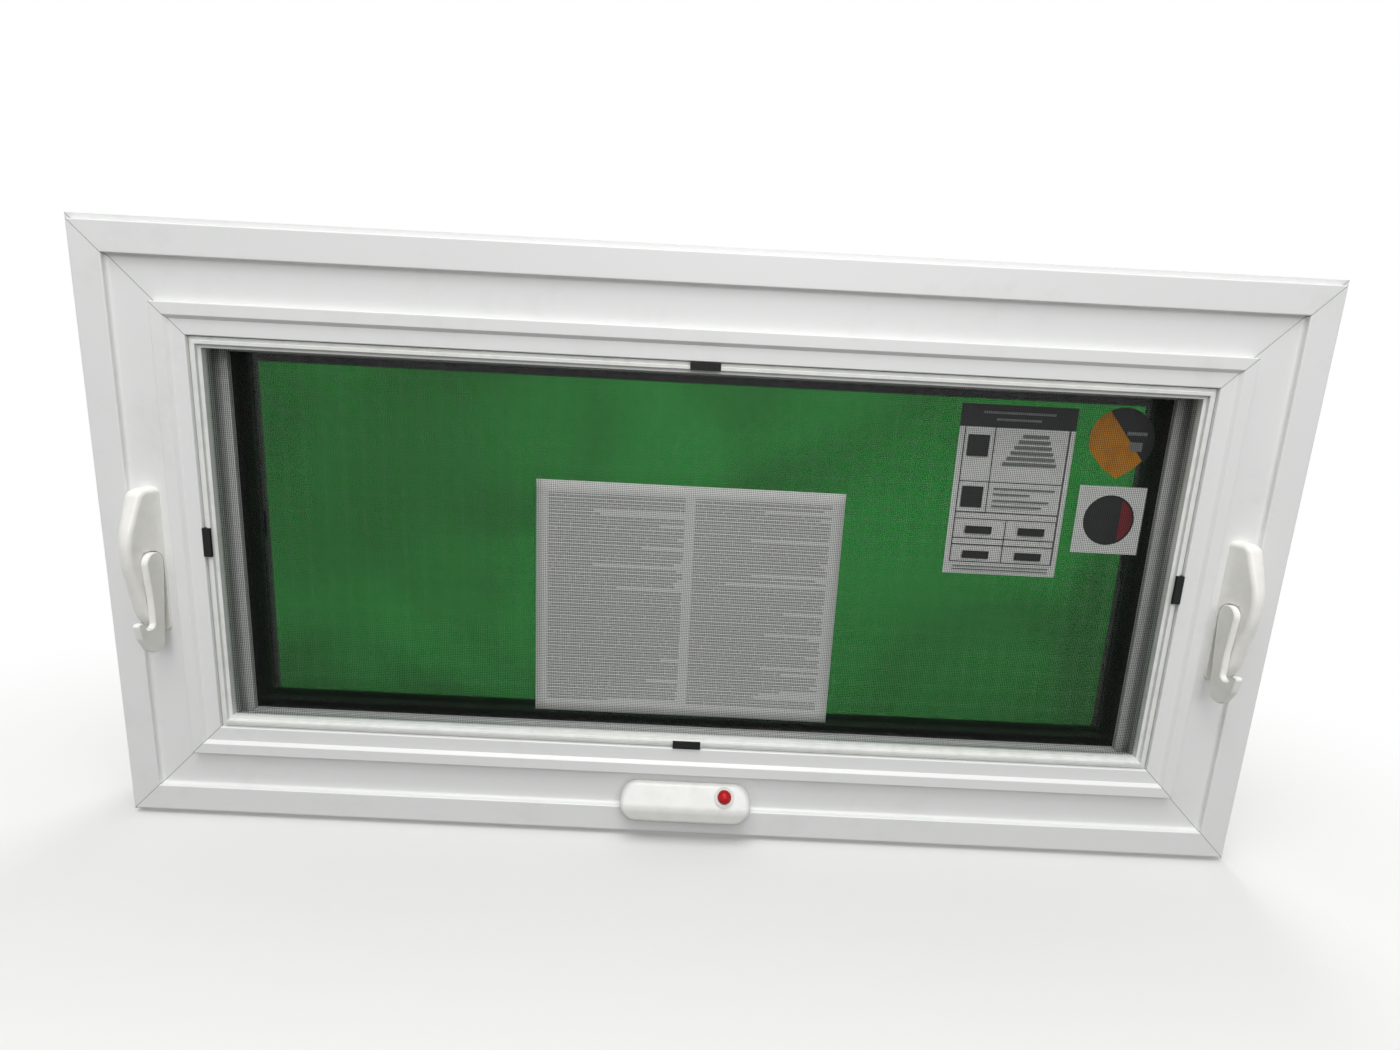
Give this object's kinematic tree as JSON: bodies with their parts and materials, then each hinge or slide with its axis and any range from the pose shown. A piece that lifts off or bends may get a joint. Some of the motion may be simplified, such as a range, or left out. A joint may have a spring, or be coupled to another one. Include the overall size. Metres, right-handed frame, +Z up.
{
  "type": "top hung awning window",
  "caption": "White vinyl top hung awning window with double glazing, an insect screen, a lock lever on each jamb and a capped crank operator on the sill.",
  "frame": {"origin": "centre of the sill's underside", "axes": "+X along the width to the right as seen from the room, +Y to the outside, +Z up"},
  "size_m": [1.026, 0.1134, 0.525],
  "materials": {
    "white_pvc": "smooth white vinyl extrusion, satin",
    "sash_pvc": "smooth white vinyl extrusion, satin",
    "bead_pvc": "smooth white vinyl, satin",
    "glass": "clear float glass with a slight green tint",
    "spacer_foam": "black warm-edge spacer and sealant",
    "seal_rubber": "black bulb weatherstrip",
    "screen_aluminium": "white painted aluminium",
    "screen_mesh": "charcoal woven insect mesh",
    "black_plastic": "black moulded plastic",
    "lock_enamel": "white baked enamel",
    "steel": "stainless steel",
    "operator_plastic": "white moulded plastic",
    "red_plastic": "red moulded plastic"
  },
  "bodies": {
    "frame": {"frame_head": "white_pvc", "frame_sill": "white_pvc", "frame_left_jamb": "white_pvc", "frame_right_jamb": "white_pvc", "frame_weatherstrip": "seal_rubber", "screen_top_bar": "screen_aluminium", "screen_bottom_bar": "screen_aluminium", "screen_left_bar": "screen_aluminium", "screen_right_bar": "screen_aluminium", "screen_mesh": "screen_mesh", "top_screen_clip": "black_plastic", "bottom_screen_clip": "black_plastic", "left_screen_clip": "black_plastic", "right_screen_clip": "black_plastic", "left_lock_case": "lock_enamel", "right_lock_case": "lock_enamel", "left_lever_pin": "steel", "right_lever_pin": "steel", "operator_cover": "operator_plastic", "spindle_collar": "operator_plastic", "spindle_cap": "red_plastic", "left_hinge_track": "steel", "right_hinge_track": "steel"},
    "sash": {"sash_top_rail": "sash_pvc", "sash_bottom_rail": "sash_pvc", "sash_left_stile": "sash_pvc", "sash_right_stile": "sash_pvc", "top_glazing_bead": "bead_pvc", "bottom_glazing_bead": "bead_pvc", "left_glazing_bead": "bead_pvc", "right_glazing_bead": "bead_pvc", "interior_glass": "glass", "exterior_glass": "glass", "glass_spacer": "spacer_foam", "left_hinge_plate": "steel", "right_hinge_plate": "steel"},
    "left_lever": {"left_lock_lever": "lock_enamel"},
    "right_lever": {"right_lock_lever": "lock_enamel"},
    "left_arm": {"left_hinge_arm": "steel"},
    "right_arm": {"right_hinge_arm": "steel"}
  },
  "joints": [
    {"name": "sash_hinge", "type": "hinge", "parent": "frame", "child": "sash", "pos_m": [0, 0.028, 0.457], "axis": [1, 0, 0], "range_deg": [0, 45]},
    {"name": "left_arm_swing", "type": "hinge", "parent": "frame", "child": "left_arm", "pos_m": [-0.4485, 0.017, 0.257], "axis": [1, 0, 0], "range_deg": [-24, 0]},
    {"name": "right_arm_swing", "type": "hinge", "parent": "frame", "child": "right_arm", "pos_m": [0.4485, 0.017, 0.257], "axis": [1, 0, 0], "range_deg": [-24, 0]},
    {"name": "left_lever_turn", "type": "hinge", "parent": "frame", "child": "left_lever", "pos_m": [-0.462, -0.051, 0.2435], "axis": [-1, 0, 0], "range_deg": [0, 85]},
    {"name": "right_lever_turn", "type": "hinge", "parent": "frame", "child": "right_lever", "pos_m": [0.462, -0.051, 0.2435], "axis": [-1, 0, 0], "range_deg": [0, 85]}
  ],
  "couplings": [
    {"joint": "left_arm_swing", "follows": "sash_hinge", "ratio": -0.52},
    {"joint": "right_arm_swing", "follows": "sash_hinge", "ratio": -0.52}
  ]
}
